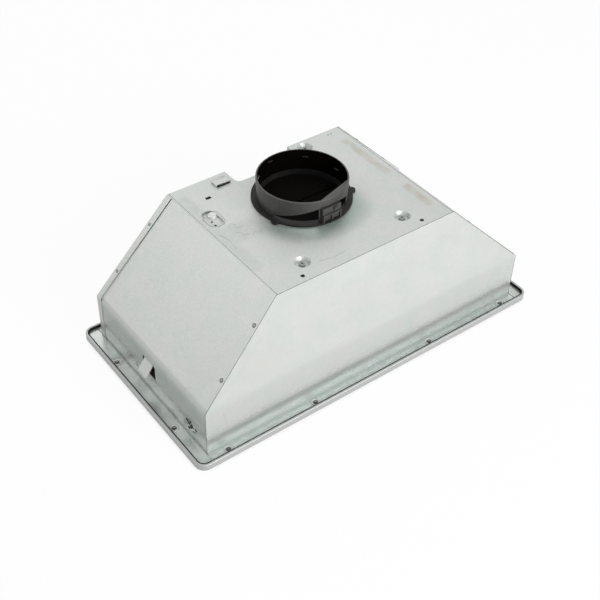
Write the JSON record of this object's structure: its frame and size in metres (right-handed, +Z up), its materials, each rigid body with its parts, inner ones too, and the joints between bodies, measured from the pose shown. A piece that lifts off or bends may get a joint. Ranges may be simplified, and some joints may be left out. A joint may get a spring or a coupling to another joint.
{
  "type": "range hood insert",
  "caption": "Low canopy hood insert: galvanised casing with sloping ends on a steel fascia, duct collar on top, blower, lamps, keys and grease filters below.",
  "frame": {"origin": "under the middle of the fascia, on the plane that the rim rests on", "axes": "+X along the long side, +Y from the control strip at the front to the back, +Z up to the duct"},
  "size_m": [0.538, 0.289, 0.217],
  "materials": {
    "stainless": "satin stainless, fine brushing along the length",
    "galvanised": "galvanised sheet, pale with a fine spangle",
    "spring_steel": "bright spring steel",
    "zinc_hardware": "zinc plated screws and rivets",
    "collar_plastic": "black moulded, satin",
    "blower_plastic": "dark grey moulded",
    "fan_plastic": "light grey moulded",
    "motor_steel": "pressed steel, lacquered",
    "shaft_steel": "ground",
    "bush_rubber": "soft, matt",
    "capacitor_shell": "white plastic can",
    "electrics_plastic": "light grey, flame retardant",
    "terminal_plastic": "natural nylon",
    "gland_plastic": "black nylon",
    "board": "green glass-fibre board",
    "button_plastic": "black, polished",
    "lens": "frosted",
    "led_board": "white board with diodes",
    "filter_aluminium": "rolled frame, bright",
    "mesh_aluminium": "expanded mesh in layers",
    "latch_plastic": "dark grey moulded"
  },
  "bodies": {
    "casing": {"back_panel": "galvanised", "cable_gland": "gland_plastic", "capacitor": "capacitor_shell", "capacitor_strap": "galvanised", "casing_rivets_left_back": "zinc_hardware", "casing_rivets_left_front": "zinc_hardware", "casing_rivets_right_back": "zinc_hardware", "casing_rivets_right_front": "zinc_hardware", "circuit_board": "board", "collar_flange": "collar_plastic", "control_bezel": "button_plastic", "damper_rod": "shaft_steel", "duct_collar": "collar_plastic", "fascia_panel": "stainless", "front_panel": "galvanised", "gland_nut": "gland_plastic", "hanger_left": "galvanised", "hanger_right": "galvanised", "hanger_screws": "zinc_hardware", "junction_box": "electrics_plastic", "junction_cover": "electrics_plastic", "lamp_housing_left": "electrics_plastic", "lamp_housing_right": "electrics_plastic", "lamp_lens_left": "lens", "lamp_lens_right": "lens", "led_board_left": "led_board", "led_board_right": "led_board", "left_end_panel": "galvanised", "motor_bracket": "galvanised", "motor_bushes": "bush_rubber", "motor_housing": "motor_steel", "motor_screws": "zinc_hardware", "rear_recess": "galvanised", "right_end_panel": "galvanised", "seat_screws": "zinc_hardware", "switch_housing": "electrics_plastic", "tact_switches": "gland_plastic", "terminal_block": "terminal_plastic", "top_plate": "galvanised", "volute_left": "blower_plastic", "volute_right": "blower_plastic"},
    "fan": {"fan_blades": "fan_plastic", "fan_hub": "fan_plastic", "motor_shaft": "shaft_steel"},
    "damper_front": {"damper_flap_front": "collar_plastic"},
    "damper_rear": {"damper_flap_rear": "collar_plastic"},
    "lamp_key": {"lamp_button": "button_plastic"},
    "off_key": {"off_button": "button_plastic"},
    "low_speed_key": {"low_speed_button": "button_plastic"},
    "medium_speed_key": {"medium_speed_button": "button_plastic"},
    "high_speed_key": {"high_speed_button": "button_plastic"},
    "filter_left": {"filter_frame_left": "filter_aluminium", "filter_mesh_left": "mesh_aluminium"},
    "filter_right": {"filter_frame_right": "filter_aluminium", "filter_mesh_right": "mesh_aluminium"},
    "latch_left": {"filter_latch_left": "latch_plastic"},
    "latch_right": {"filter_latch_right": "latch_plastic"},
    "grip_left": {"side_spring_left": "spring_steel"},
    "grip_right": {"side_spring_right": "spring_steel"}
  },
  "joints": [
    {"name": "fan_spin", "type": "hinge", "parent": "casing", "child": "fan", "pos_m": [0, -0.004, 0.097], "axis": [1, 0, 0], "continuous": true},
    {"name": "damper_front_swing", "type": "hinge", "parent": "casing", "child": "damper_front", "pos_m": [0, 0.0265, 0.18], "axis": [-1, 0, 0], "range_deg": [0, 78]},
    {"name": "damper_rear_swing", "type": "hinge", "parent": "casing", "child": "damper_rear", "pos_m": [0, 0.0265, 0.18], "axis": [1, 0, 0], "range_deg": [0, 78]},
    {"name": "lamp_press", "type": "slide", "parent": "casing", "child": "lamp_key", "axis": [0, 0, 1], "range_m": [0, 0.002], "stiffness_N_per_m": 300},
    {"name": "off_press", "type": "slide", "parent": "casing", "child": "off_key", "axis": [0, 0, 1], "range_m": [0, 0.002], "stiffness_N_per_m": 300},
    {"name": "low_speed_press", "type": "slide", "parent": "casing", "child": "low_speed_key", "axis": [0, 0, 1], "range_m": [0, 0.002], "stiffness_N_per_m": 300},
    {"name": "medium_speed_press", "type": "slide", "parent": "casing", "child": "medium_speed_key", "axis": [0, 0, 1], "range_m": [0, 0.002], "stiffness_N_per_m": 300},
    {"name": "high_speed_press", "type": "slide", "parent": "casing", "child": "high_speed_key", "axis": [0, 0, 1], "range_m": [0, 0.002], "stiffness_N_per_m": 300},
    {"name": "filter_left_swing", "type": "hinge", "parent": "casing", "child": "filter_left", "pos_m": [-0.123, 0.1168, 0.0012], "axis": [1, 0, 0], "range_deg": [0, 80]},
    {"name": "latch_left_slide", "type": "slide", "parent": "filter_left", "child": "latch_left", "axis": [0, 1, 0], "range_m": [0, 0.006], "stiffness_N_per_m": 300},
    {"name": "grip_left_flex", "type": "hinge", "parent": "casing", "child": "grip_left", "pos_m": [-0.2479, 0.003, 0.065], "axis": [0, -1, 0], "range_deg": [0, 18], "stiffness_Nm_per_rad": 1.2},
    {"name": "filter_right_swing", "type": "hinge", "parent": "casing", "child": "filter_right", "pos_m": [0.123, 0.1168, 0.0012], "axis": [1, 0, 0], "range_deg": [0, 80]},
    {"name": "latch_right_slide", "type": "slide", "parent": "filter_right", "child": "latch_right", "axis": [0, 1, 0], "range_m": [0, 0.006], "stiffness_N_per_m": 300},
    {"name": "grip_right_flex", "type": "hinge", "parent": "casing", "child": "grip_right", "pos_m": [0.2479, 0.003, 0.065], "axis": [0, 1, 0], "range_deg": [0, 18], "stiffness_Nm_per_rad": 1.2}
  ]
}
